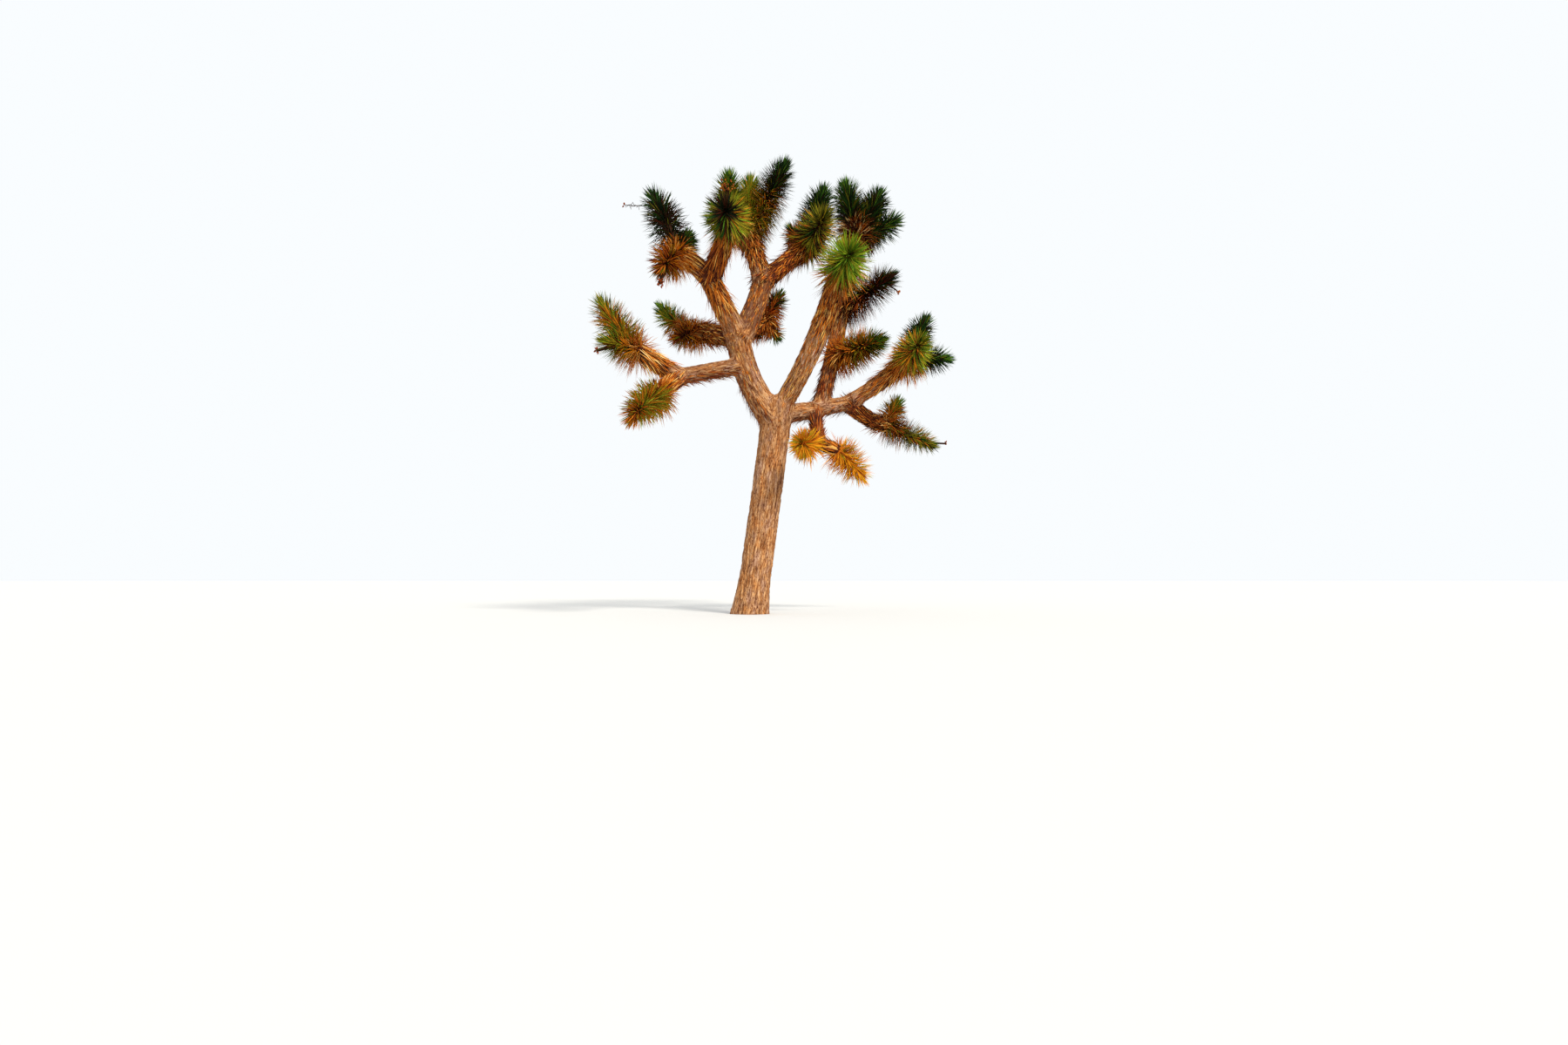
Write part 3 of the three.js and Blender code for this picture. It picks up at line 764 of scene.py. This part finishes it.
def relief(points, edges):
    """Depth of the furrows at each point, evened out where two limbs' bark meets."""
    owner, _ = owners(points)
    coordinates = limb_coordinates(points, owner)
    depth = sum(furrow(coordinates, cell, stretch) * deep for cell, stretch, deep in FURROWS)
    border = np.zeros(len(points), bool)
    border[edges[owner[edges[:, 0]] != owner[edges[:, 1]]].ravel()] = True
    for _ in range(BORDER_RINGS):
        border[edges[border[edges].any(axis=1)].ravel()] = True
    even = smoothed(np.repeat(depth[:, None], 3, axis=1), edges, BORDER_SMOOTHING)[:, 0]
    return np.where(border, even, depth)


def cut_at_ground(mesh):
    cutter = bmesh.new()
    cutter.from_mesh(mesh)
    everything = cutter.verts[:] + cutter.edges[:] + cutter.faces[:]
    cut = bmesh.ops.bisect_plane(
        cutter, geom=everything, plane_co=(0, 0, 0), plane_no=(0, 0, -1), clear_outer=True
    )
    rim = [e for e in cut["geom_cut"] if isinstance(e, bmesh.types.BMEdge)]
    bmesh.ops.holes_fill(cutter, edges=rim)
    cutter.to_mesh(mesh)
    cutter.free()
    mesh.update()


def grow_bark():
    """The skin of the trunk and all boughs, melted together at the forks, with its furrows."""
    vertices, faces = join([limb_body(limb) for limb in limbs.values()])
    bark = make_mesh("bark", vertices, faces, [])
    voxel_union(bark, BLEND_VOXEL)
    mesh = bark.data
    edges = read(mesh.edges, "vertices", 2, np.int64)
    points = smoothed(read(mesh.vertices, "co", 3, float), edges, FORK_SMOOTHING)
    write(mesh.vertices, "co", points)
    mesh.update()
    normals = read(mesh.vertices, "normal", 3, np.float32)
    points = points + normals * (SMOOTHING_LOSS - relief(points, edges))[:, None]
    write(mesh.vertices, "co", points)
    cut_at_ground(mesh)
    mark_bark(mesh)
    return bark


# Leaves

def blades(roots, ways, faces, lengths, widths, sag, sections, keel):
    """Vertices and faces of many keeled blades. sections are (share along, share of width)."""
    drops = np.outer(sag, (0, 0, -1))
    sides = unit(np.cross(ways, faces))
    backs = np.cross(sides, ways)
    rows = []
    for along, width in sections:
        middle = roots + ways * (lengths * along)[:, None] + drops * along**2
        half = (widths * width / 2)[:, None]
        rows += [middle - sides * half, middle - backs * half * keel, middle + sides * half]
    rows.append(roots + ways * lengths[:, None] + drops)
    per = len(rows)
    vertices = np.stack(rows, axis=1).reshape(-1, 3)
    base = np.arange(len(roots))[:, None, None] * per
    quads = []
    for a in range(0, 3 * len(sections) - 3, 3):
        quads += [[a, a + 1, a + 4, a + 3], [a + 1, a + 2, a + 5, a + 4]]
    triangles = [[per - 4, per - 3, per - 1], [per - 3, per - 2, per - 1]]
    quads = (base + np.array(quads)[None]).reshape(-1, 4)
    triangles = (base + np.array(triangles)[None]).reshape(-1, 3)
    return vertices, quads, triangles


class Spray:
    """Blades that are gathered and then made into one object, coloured blade by blade."""

    def __init__(self, name, sections, keel):
        self.name, self.sections, self.keel = name, sections, keel
        self.batches = []

    def add(self, keep=slice(None), **rows):
        """Adds blades: all of them, or those to keep."""
        self.batches.append({key: values[keep] for key, values in rows.items()})

    def make(self):
        rows = {k: np.concatenate([b[k] for b in self.batches]) for k in self.batches[0]}
        colours = rows.pop("colours")
        vertices, quads, triangles = blades(sections=self.sections, keel=self.keel, **rows)
        used = sorted(set(colours.tolist()))
        slot = np.zeros(len(COLOUR_NAMES), int)
        slot[used] = np.arange(len(used))
        indices = np.concatenate(
            [np.repeat(slot[colours], len(faces) // len(colours)) for faces in (quads, triangles)]
        )
        materials = [leaf_material(COLOUR_NAMES[i]) for i in used]
        return make_mesh(self.name, vertices, [quads, triangles], materials, indices)


def deal(palette, count):
    """Colour numbers for so many leaves, by the palette's shares."""
    numbers = [COLOUR_NAMES.index(name) for name in palette]
    weights = np.array(list(palette.values()), float)
    return rng.choice(numbers, count, p=weights / weights.sum())


def keeps_clear(head, roots, tips):
    """Which leaves keep off every limb, off the other heads' stems and above the ground."""
    clear = np.ones(len(roots), bool)
    for share in LEAF_TESTS:
        places = roots + (tips - roots) * share
        clear &= places[:, 2] > 0
        for limb in limbs.values():
            distance, at = limb.line.nearest(places)
            clear &= distance > limb.girth(at) + LIMB_CLEARANCE
        for other in heads.values():
            if other is not head:
                distance, at = other.line.nearest(places)
                clear &= distance > other.stem_radius(at) + STEM_CLEARANCE
    return clear


def leaf_colours(head, shares, ways, inner, dead):
    """Colour numbers: dead at the base, young at the tip, and darker ones, painted shade, for the
    inner leaves.
    """
    count = len(shares)
    live_palette, dead_palette, young_palette, inner_shade_palette = PALETTES[head.palette]
    colours = np.where(dead, deal(dead_palette, count), deal(live_palette, count))
    if head.name in SUNLIT_SIDES:
        # Painted sunlight: live leaves on the +X side of some heads take another kind's colours.
        other = deal(PALETTES[SUNLIT_SIDES[head.name]][0], count)
        colours = np.where((ways[:, 0] > SUNLIT_SIDE) & ~dead, other, colours)
    young = shares > YOUNG + rng.uniform(-AGE_PLAY, AGE_PLAY, count)
    colours = np.where(young, deal(young_palette, count), colours)
    # The inner leaves take darker colours: painted shade inside the head.
    return np.where(inner & ~dead, deal(inner_shade_palette, count), colours)


def head_leaves(head, spray):
    """Leaves in a spiral up the stem: spread out at its base and turning forward to its tip."""
    fill = FULLER.get(head.name, 1)
    count = int(LEAVES_PER_METRE * fill * (head.length + TIP_LEAVES))
    shares = FIRST_LEAF + (LAST_LEAF - FIRST_LEAF) * (np.arange(count) + 0.5) / count
    centres, axes, ups = head.line.at(shares)
    turn = np.arange(count) * GOLDEN_ANGLE + rng.uniform(0, TURN_PLAY, count)
    out = head.line.outward(turn, ups)
    along = np.clip(shares, 0, 1)
    spread = head.spread + (TIP_LEAF_ANGLE - head.spread) * along**LEAF_ANGLE_CURVE
    spread = np.radians(spread + LEAF_ANGLE_PLAY * rng.uniform(-1, 1, count))
    ways = np.cos(spread)[:, None] * axes + np.sin(spread)[:, None] * out
    shorter = TIP_SHORTENING * along**TIP_SHORTENING_CURVE
    reach = head.reach * (1 - shorter) * (1 + REACH_PLAY * rng.uniform(-0.5, 0.5, count))
    inner = rng.uniform(0, 1, count) < INNER_LEAVES
    reach = np.where(inner, reach * rng.uniform(*INNER_REACH, count), reach)
    inset = head.stem_radius(shares) * LEAF_SUNK
    roots = centres + ways * inset[:, None]
    lengths = reach - inset
    dead = shares < head.dead + rng.uniform(-AGE_PLAY, AGE_PLAY, count)
    colours = leaf_colours(head, shares, ways, inner, dead)
    sag = np.where(dead, rng.uniform(*DEAD_SAG, count), rng.uniform(*LIVE_SAG, count))
    tips = roots + ways * lengths[:, None]
    tips[:, 2] -= sag
    keep = keeps_clear(head, roots, tips)
    thin_to, left = THINNED.get(head.name, (0, 1))
    keep &= (shares > thin_to) | (rng.uniform(0, 1, count) < left)
    widths = LEAF_WIDTH * rng.uniform(*LEAF_WIDTH_PLAY, count)
    spray.add(keep, colours=colours, roots=roots, ways=ways, faces=axes, lengths=lengths,
              widths=widths, sag=sag)


def sprout_leaves(spray):
    limb, at = limbs[SPROUT_ON[0]], SPROUT_ON[1]
    count = SPROUT_LEAVES
    centre, _, up = limb.line.at(at)
    root = centre + up * float(limb.girth(at)) * SPROUT_SUNK
    play = rng.uniform(-SPROUT_SPREAD, SPROUT_SPREAD, (count, 3))
    ways = unit(towards(*SPROUT_WAY) + play)
    spray.add(
        colours=deal(PALETTES["bright"][0], count),
        roots=np.repeat(root, count, axis=0),
        ways=ways,
        faces=unit(np.cross(ways, limb.line.side)),
        lengths=SPROUT_REACH * rng.uniform(*SPROUT_LENGTHS, count),
        widths=np.full(count, LEAF_WIDTH * SPROUT_WIDTH),
        sag=np.zeros(count),
    )


def dead_leaves(limb, spray, kind, palette, first, last, below=False):
    """Dead leaves that lie back along part of a limb, overlapping like straw."""
    per_area, sizes, lifts, droop, width = kind
    girth = np.mean(limb.girth(np.linspace(first, last, GIRTH_SAMPLES)))
    area = math.tau * girth * limb.length
    count = int(per_area * area * (last - first))
    shares = rng.uniform(first, last, count) + rng.uniform(-0.5, 0.5, count) * THATCH_EDGE
    shares = np.clip(shares, 0, max(last, 1))
    turn = rng.uniform(0, math.tau, count)
    centres, axes, ups = limb.line.at(shares)
    out = limb.line.outward(turn, ups)
    roots = centres + out * (limb.girth(shares) * STRAW_SUNK)[:, None]
    angle = np.radians(rng.uniform(*lifts, count))
    twist = rng.uniform(-STRAW_TWIST, STRAW_TWIST, count)
    across = np.cross(axes, out)
    ways = unit(
        -np.cos(angle)[:, None] * axes + np.sin(angle)[:, None] * out + twist[:, None] * across
    )
    lengths = rng.uniform(*sizes, count)
    sag = droop * rng.uniform(0, 1, count)
    keep = roots[:, 2] + ways[:, 2] * lengths - sag > STRAW_HEIGHT
    if below:
        keep &= out[:, 2] < HANGS_BELOW
    colours = deal(palette, count)
    widths = width * rng.uniform(*STRAW_WIDTH_PLAY, count)
    spray.add(keep, colours=colours, roots=roots, ways=ways, faces=-axes, lengths=lengths,
              widths=widths, sag=sag)


def thatch_limb(limb, thatch, flakes):
    """Flakes on the bare bark at a limb's foot, then pressed and loose thatch, and a skirt."""
    name = limb.name
    bare = min(BARE_FEET.get(name, 0.0), 1.0)
    # Limbs deep in painted shade: flakes in darker colours, painted shade too, and teeth all round.
    if bare > 0 and SHADED_LIMBS.get(name, 0) > SHADED_FLAKED:
        dead_leaves(limb, flakes, FLAKES, SHADED_FLAKE_COLOURS, SHADE_FROM / limb.length, bare)
        dead_leaves(limb, thatch, TEETH, TEETH_COLOURS, FRINGE_FROM, bare)
    elif bare > 0:
        dead_leaves(limb, flakes, FLAKES, FLAKE_COLOURS, 0, bare)
        dead_leaves(limb, thatch, HANGING, HANGING_COLOURS, FRINGE_FROM, bare, below=True)
    loose = loose_from(limb)
    if bare < loose:
        tones = PRESSED_TONES.get(name, PRESSED_COLOURS)
        dead_leaves(limb, thatch, PRESSED, tones, bare, loose)
    if loose < 1:
        # Limbs in shade take darker thatch colours: painted shade.
        dark = name in SHADED_THATCHED
        first = max(loose, bare)
        tones = SHADED_THATCH_COLOURS if dark else SHINGLE_COLOURS
        dead_leaves(limb, thatch, SHINGLES, tones, first, 1.0)
        if name not in TIGHT_LIMBS:
            tones = SHADED_THATCH_COLOURS if dark else SHAG_COLOURS
            dead_leaves(limb, thatch, SHAG, tones, first, 1.0)
    if name in leafy_limbs:
        first = SKIRT_START.get(name, USUAL_SKIRT_START)
        tones = PALE_SKIRT_COLOURS if name in PALE_SKIRTS else SHAG_COLOURS
        dead_leaves(limb, thatch, SKIRT, tones, first, SKIRT_END)


# Flower stalks

def rod(line, radii):
    return tube(line, np.linspace(0, 1, len(radii)), np.array(radii)[:, None], STALK_SIDES)


def pods_at(place, count):
    spread = POD_SPREAD + POD_SPREAD_EACH * count
    made = []
    for _ in range(count):
        centre = place + rng.uniform(-spread, spread, 3)
        line = Line(centre, rng.uniform(0, 360), rng.uniform(*POD_RISES), 0, POD_LENGTH)
        made.append(rod(line, [POD_RADIUS * r for r in POD_RADII]))
    return made


# Materials

MIX_A, MIX_B, MIXED = 6, 7, 2  # a Mix node's inputs and output for colours


def to_linear(colour):
    return [((c + 0.055) / 1.055) ** 2.4 if c > 0.04045 else c / 12.92 for c in colour]


def new_material(name, roughness, specular):
    """A material, its node tree and its shader."""
    material = bpy.data.materials.new(name)
    material.use_nodes = True
    shader = material.node_tree.nodes["Principled BSDF"]
    shader.inputs["Roughness"].default_value = roughness
    shader.inputs["Specular IOR Level"].default_value = specular
    return material, material.node_tree, shader


def add_node(tree, kind, values, sources, **settings):
    """A node with its settings, and its inputs' values and sources by name or number."""
    node = tree.nodes.new("ShaderNode" + kind)
    for key, value in settings.items():
        setattr(node, key, value)
    for key, value in values.items():
        node.inputs[key].default_value = value
    for key, source in sources.items():
        tree.links.new(source, node.inputs[key])
    return node


def add_grain(tree, place, scale, detail, roughness):
    values = {"Scale": scale, "Detail": detail, "Roughness": roughness}
    return add_node(tree, "TexNoise", values, {"Vector": place}).outputs["Fac"]


def add_bump(tree, shader, height, strength, depth):
    bump = add_node(tree, "Bump", {"Strength": strength, "Distance": depth}, {"Height": height})
    tree.links.new(bump.outputs["Normal"], shader.inputs["Normal"])


leaf_materials = {}


def leaf_material(name):
    """A plain colour with a fine grain in its bump."""
    if name not in leaf_materials:
        material, tree, shader = new_material("leaf_" + name, roughness=0.7, specular=0.08)
        shader.inputs["Base Color"].default_value = (*to_linear(COLOURS[name]), 1)
        place = add_node(tree, "TexCoord", {}, {}).outputs["Object"]
        add_bump(tree, shader, add_grain(tree, place, *LEAF_GRAIN), *LEAF_BUMP)
        leaf_materials[name] = material
    return leaf_materials[name]


def bark_material():
    """Fibres, pits and patches, drawn out along each limb, and darkened by painted shade under
    thatch and on limbs in shade.
    """
    material, tree, shader = new_material("bark", roughness=0.92, specular=0.15)
    place = add_node(tree, "Attribute", {}, {}, attribute_name="limb").outputs["Vector"]
    painted_shade_amount = add_node(tree, "Attribute", {}, {}, attribute_name="thatched").outputs["Fac"]

    def grain(along, *pattern):
        drawn_out = add_node(
            tree, "VectorMath", {1: (1, 1, along)}, {0: place}, operation="MULTIPLY"
        )
        return add_grain(tree, drawn_out.outputs["Vector"], *pattern)

    def coloured(value, stops):
        node = add_node(tree, "ValToRGB", {}, {"Fac": value})
        elements = node.color_ramp.elements
        while len(elements) < len(stops):
            elements.new(0.5)
        for element, (level, colour) in zip(elements, stops):
            element.position = level
            element.color = (*to_linear(colour), 1)
        return node.outputs["Color"]

    def multiplied(one, other):
        blend = {"data_type": "RGBA", "blend_type": "MULTIPLY"}
        mix = add_node(tree, "Mix", {"Factor": 1}, {MIX_A: one, MIX_B: other}, **blend)
        return mix.outputs[MIXED]

    fibres, pits = grain(*FIBRES), grain(*PITS)
    plates = multiplied(coloured(fibres, FIBRE_COLOURS), coloured(pits, PIT_COLOURS))
    bare = multiplied(plates, coloured(grain(*PATCHES), PATCH_COLOURS))
    # Painted shade: the bark's colour is mixed towards a dark colour as far as the attribute written
    # by mark_bark says.
    shade_colour_input = {MIX_B: (*to_linear(PAINTED_SHADE_COLOUR), 1)}
    shaded = add_node(tree, "Mix", shade_colour_input, {"Factor": painted_shade_amount, MIX_A: bare}, data_type="RGBA")
    tree.links.new(shaded.outputs[MIXED], shader.inputs["Base Color"])
    height = add_node(tree, "Math", {}, {0: fibres, 1: pits}, operation="ADD")
    add_bump(tree, shader, height.outputs["Value"], *BARK_BUMP)
    return material


# The tree

bark = grow_bark()
bark.data.materials.append(bark_material())
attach(bark, "root")
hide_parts(*limbs)

stem_parts = []
for head in heads.values():
    shares = np.linspace(*STEM_ENDS, STEM_RINGS)
    radii = head.stem_radius(shares)[:, None]
    radii[-1] *= STEM_BLUNTING
    stem_parts.append(tube(head.line, shares, radii, STEM_SIDES))
vertices, faces = join(stem_parts)
golden = [head.palette == "gold" for head in heads.values()]
stem_faces = (STEM_SIDES * (STEM_RINGS - 1), STEM_SIDES * 2)  # quads, then triangles
indices = np.concatenate([np.repeat(golden, count) for count in stem_faces])
# The stems' dark brown is partly painted shade inside the heads.
materials = [leaf_material(colour) for colour in STEM_COLOURS]
stems = make_mesh("head_stems", vertices, faces, materials, indices)
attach(stems, "root")

sprays = {part: Spray("leaves_" + part, BLADE, LEAF_KEEL) for part in CROWN_PARTS}
for head in heads.values():
    for part, starts in CROWN_PARTS.items():
        if head.name.startswith(starts):
            head_leaves(head, sprays[part])
sprout_leaves(sprays["top"])
for part, starts in CROWN_PARTS.items():
    leaves = sprays[part].make()
    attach(leaves, "root")
    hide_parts(*[name for name in heads if name.startswith(starts)])

flakes = Spray("bark_flakes", SPLINTER, STRAW_KEEL)
dead_leaves(limbs["trunk"], flakes, FLAKES, FLAKE_COLOURS, FLAKES_FROM, 1.0)
for part, starts in THATCH_PARTS.items():
    thatch = Spray("thatch_" + part, STRAW, STRAW_KEEL)
    for limb in limbs.values():
        if limb.name.startswith(starts):
            thatch_limb(limb, thatch, flakes)
    piece = thatch.make()
    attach(piece, "root")
piece = flakes.make()
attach(piece, "root")

wood, dark_pods, pale_pods = [], [], []
for on, at, heading, rise, lift, length, foot, tip, twigs, pod_count in STALKS:
    start = heads[on].line.at(at)[0][0]
    line = Line(start, heading, rise, lift, length * MM)
    play = rng.uniform(*STALK_PLAY, STALK_RINGS)
    wood.append(rod(line, np.linspace(foot, tip, STALK_RINGS) * MM * play))
    for share in np.linspace(*TWIGS_ALONG, twigs):
        base = line.at(share)[0][0]
        twig = Line(base, rng.uniform(0, 360), rng.uniform(*TWIG_RISES), 0, TWIG_LENGTH)
        wood.append(rod(twig, [TWIG_RADIUS, TWIG_RADIUS * TWIG_TAPER]))
    pods = pods_at(line.at(1)[0][0], pod_count)
    if on in PALE_PODS:
        pale_pods += pods[::2]
        dark_pods += pods[1::2]
    else:
        dark_pods += pods
for name, bodies, colour in (
    ("dry_stalks", wood, "dark_brown"),
    ("dry_pods_dark", dark_pods, "rust"),
    ("dry_pods_pale", pale_pods, "orange_brown"),
):
    vertices, faces = join(bodies)
    piece = make_mesh(name, vertices, faces, [leaf_material(colour)], smooth=True)
    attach(piece, "root")

# The studio

corners = FLOOR_REACH * np.array([(-1, -1, 0), (1, -1, 0), (1, 1, 0), (-1, 1, 0)])
pale_floor, _, floor_shader = new_material("pale_floor", roughness=0.95, specular=0.5)
floor_shader.inputs["Base Color"].default_value = FLOOR_COLOUR
floor = make_mesh("floor", corners, [np.array([[0, 1, 2, 3]])], [pale_floor])

world = bpy.data.worlds.new("studio")
bpy.context.scene.world = world
world.use_nodes = True
background = world.node_tree.nodes["Background"]
background.inputs["Color"].default_value = SKY_COLOUR
background.inputs["Strength"].default_value = 1.0

key = bpy.data.lights.new("key", "SUN")
key.energy = KEY_STRENGTH
key.angle = KEY_SIZE
key.color = KEY_COLOUR
add_object("key", key).rotation_euler = KEY_TURN

bpy.context.scene.view_settings.view_transform = "Standard"

camera_data = bpy.data.cameras.new("camera")
camera_data.sensor_width = SENSOR
camera_data.lens = LENS
camera_data.clip_end = FARTHEST_SEEN
camera = add_object("camera", camera_data)
camera.location = CAMERA_PLACE
camera.rotation_euler = (math.radians(90 + CAMERA_PITCH), 0, 0)
bpy.context.scene.camera = camera
